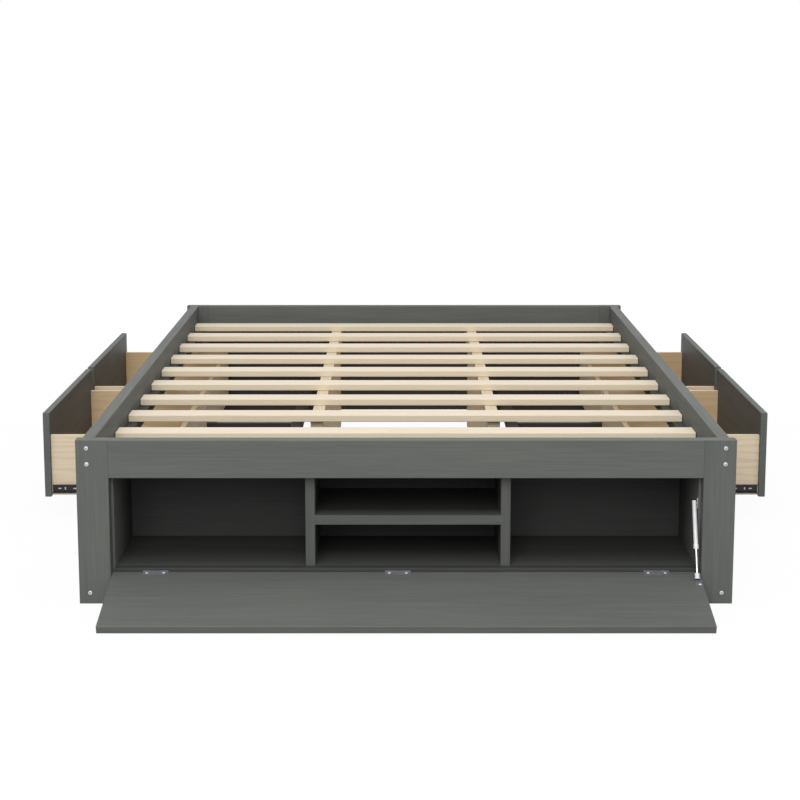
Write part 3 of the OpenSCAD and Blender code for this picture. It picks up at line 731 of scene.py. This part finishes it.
def set_screws(name, body, places, size=1.0):
    """places are (point, outward direction) pairs in the CAD model's frame."""
    copies = []
    for number, (point, outward) in enumerate(places):
        bpy.ops.object.select_all(action="DESELECT")
        first_screw.select_set(True)
        bpy.context.view_layer.objects.active = first_screw
        bpy.ops.object.duplicate()
        copy = bpy.context.object
        aim = Vector(outward).to_track_quat("Z", "Y").to_matrix().to_4x4()
        spin = Matrix.Rotation(0.7 * number + 0.3, 4, "Z")  # each stopped at its own turn
        copy.matrix_world = Matrix.Translation(point) @ aim @ spin @ Matrix.Scale(size, 4)
        copies.append(copy)
    bpy.ops.object.select_all(action="DESELECT")
    for copy in copies:
        copy.select_set(True)
    bpy.context.view_layer.objects.active = copies[0]
    bpy.ops.object.join()
    bpy.ops.object.transform_apply(location=True, rotation=True, scale=True)
    piece = bpy.context.object
    piece.name = name
    piece.data.materials.clear()
    piece.data.materials.append(screw_zinc)
    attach(piece, body)
    print(name, "has", len(copies), "screws")


# %% [markdown]
# The hinge screws stand 42 mm apart on each leaf. Places on the open flap could
# be measured in the room, but they are easier to state along the flap from the
# pin and square to it, and then to turn by the flap's opening angle.

# %% Screws of the hinges and the stay
opening = math.radians(103.3)
pin_low, pin_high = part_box("hinge_pins")
pin_y, pin_z = (pin_low[1] + pin_high[1]) / 2, (pin_low[2] + pin_high[2]) / 2
print("hinge pins at", round(pin_y, 5), round(pin_z, 5))
leaf_half = 0.0315
middle_hinge_x = -0.020
hinge_middles = (pin_low[0] + leaf_half, middle_hinge_x, pin_high[0] - leaf_half)
leaf_near, leaf_far = 0.0011, 0.0026  # the two faces of a leaf, from the pin
sunk_in_leaf = 0.0004
screw_reach = 0.021  # from a hinge's middle
screw_run = 0.0102  # from the pin, along a leaf
flap_up = (0.0, math.cos(opening), math.sin(opening))


def on_flap(x, along, height):
    """A point so far along the open flap from the pin, and so high square to it."""
    return (
        x,
        pin_y + height * math.cos(opening) - along * math.sin(opening),
        pin_z + height * math.sin(opening) + along * math.cos(opening),
    )


pairs = [x + side * screw_reach for x in hinge_middles for side in (-1, 1)]
set_screws(
    "hinge_screws_flap", "flap",
    [(on_flap(x, screw_run, leaf_far - sunk_in_leaf), flap_up) for x in pairs],
)
on_plinth_y = pin_y + leaf_near + sunk_in_leaf
set_screws(
    "hinge_screws_plinth", "frame",
    [((x, on_plinth_y, pin_z - screw_run), (0, -1, 0)) for x in pairs],
)
stay_foot_screw = (0.7195, 0.0625, 0.0020)  # x, along the flap and square to it
set_screws("stay_screw_flap", "flap", [(on_flap(*stay_foot_screw), flap_up)])

bracket_low, bracket_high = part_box("stay_bracket_upper")
bracket_t = 0.0012
bracket_face = bracket_high[0] - bracket_t
bracket_middle = ((bracket_low[1] + bracket_high[1]) / 2, (bracket_low[2] + bracket_high[2]) / 2)
stay_top = Vector((bracket_face, *bracket_middle))
print("upper end of the stay at", [round(v, 5) for v in stay_top])
stay_screw_lifts = (-0.0105, 0.0105)
sunk = 0.0003  # the heads' undersides lie this deep in the bracket
set_screws(
    "stay_screws_side", "frame",
    [(stay_top + Vector((sunk, 0, lift)), (-1, 0, 0)) for lift in stay_screw_lifts],
    size=0.9,
)

# %% [markdown]
# The drawer member of each slide is screwed to the box through its longer slots.
# The heads face away from the box, into the slide. Their places are shares of
# the slide's length, so they follow the CAD model if a slide is made longer.

# %% Screws of the drawer slides
screw_shares = (0.457, 0.731, 0.903)  # of the length, from the drawer's front
seat = 0.0003  # the heads' undersides stand off the box by this much
for bay in bays:
    outer = 1 if bay.endswith("right") else -1
    low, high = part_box("slide_inner_" + bay)
    front = high[0] if outer > 0 else low[0]
    slide_length = high[0] - low[0]
    slide_z = (low[2] + high[2]) / 2
    box_low, box_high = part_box("drawer_box_" + bay)
    places = []
    for share in screw_shares:
        x = front - outer * share * slide_length
        places.append(((x, box_low[1] - seat, slide_z), (0, -1, 0)))
        places.append(((x, box_high[1] + seat, slide_z), (0, 1, 0)))
    set_screws("slide_screws_" + bay, "drawer_" + bay, places)
bpy.data.objects.remove(first_screw)

# %% [markdown]
# ## Studio
#
# A shop picture has no visible room: the floor melts into a white backdrop and
# only a soft shadow is left. The lamps are set so that a colour renders about as
# it is written. The floor is mostly glow to the camera, which makes it white
# but keeps a trace of the bed's shadow on it.

# %% Floor
floor_size = 60
floor_drop = 0.0004  # keeps the feet of the posts clear of it
CARD_DARK, CARD_PALE = (0.38, 0.38, 0.38), (0.40, 0.40, 0.40)
bpy.ops.mesh.primitive_plane_add(size=floor_size, location=(0, 0, -floor_drop))
floor = bpy.context.object
floor.name = "studio_floor"

floor_finish = Finish("studio_floor")
grit = floor_finish.noise(floor_finish.place, 4.0, 2.0)
card = floor_finish.put(
    "ShaderNodeBsdfDiffuse", {},
    {"Color": floor_finish.blend(grit, CARD_DARK, CARD_PALE)},
)
glow = floor_finish.put("ShaderNodeEmission", {}, {"Color": (1, 1, 1, 1), "Strength": 1.06})
away = (floor_finish.x ** 2.0 + floor_finish.y ** 2.0) ** 0.5
shown = floor_finish.seen() * (away.between(1.6, 4.0) * 0.1 + 0.9)
both = floor_finish.put("ShaderNodeMixShader", {}, {0: shown, 1: card, 2: glow})
floor_finish.put("ShaderNodeOutputMaterial", {}, {"Surface": both})
floor.data.materials.append(floor_finish.material)
print(floor.name, "is", floor_size, "m wide")

# %% Backdrop and lamps
sky = Finish("studio", bpy.data.worlds.new("studio"))
bpy.context.scene.world = sky.material
strength = sky.put(
    "ShaderNodeMapRange", {}, {"Value": sky.seen(), "To Min": 0.60, "To Max": 1.0}
)
backdrop = sky.put("ShaderNodeBackground", {}, {"Color": (1, 1, 1, 1), "Strength": strength})
sky.put("ShaderNodeOutputWorld", {}, {"Surface": backdrop})


def softbox(name, place, target, size, power, mirrored=True):
    """A square lamp. One that isn't mirrored lights the bed but leaves no gloss on it."""
    bpy.ops.object.light_add(type="AREA", location=place)
    lamp = bpy.context.object
    lamp.name = name
    lamp.data.shape = "SQUARE"
    lamp.data.size = size
    lamp.data.energy = power
    lamp.visible_glossy = mirrored
    lamp.rotation_euler = (Vector(target) - Vector(place)).to_track_quat("-Z", "Y").to_euler()
    print(name, "gives", power, "W")


softbox("top_softbox", (0.0, -0.6, 4.6), (0.0, 0.1, 0.0), 3.5, 72.0)
softbox("front_softbox", (-0.6, -6.0, 3.6), (0.0, -0.6, 0.2), 3.5, 262.0)
softbox("rear_softbox", (1.0, 6.4, 2.6), (0.0, 0.8, 0.2), 3.0, 90.0, mirrored=False)

# %% [markdown]
# ## Camera
#
# The picture was taken level with a strongly lowered view, which keeps its
# uprights upright. A large shift would push the bed out of the frame when the
# camera goes round it, so most of it is turned into a slight downward tilt.
# The uprights then lean in a little towards the floor.

# %% Camera at the picture's viewpoint
foot_face_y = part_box("foot_post_left")[0][1]
distance = 3.7911  # in front of the foot face
lens_x, lens_z = -0.0147, 1.3523
tilt_down = 8.44
bpy.ops.object.camera_add(
    location=(lens_x, foot_face_y - distance, lens_z),
    rotation=(math.radians(90 - tilt_down), 0.0, 0.0),
)
camera = bpy.context.object
camera.data.sensor_width = 36.0
camera.data.lens = 71.77
camera.data.shift_y = -0.14
bpy.context.scene.camera = camera
bpy.context.scene.view_settings.view_transform = "Standard"
print("camera", tuple(round(v, 3) for v in camera.location), "lens", camera.data.lens)

# %% [markdown]
# ## Size
#
# The dressed bed has to be as big as its CAD model, because both stand in one
# frame.
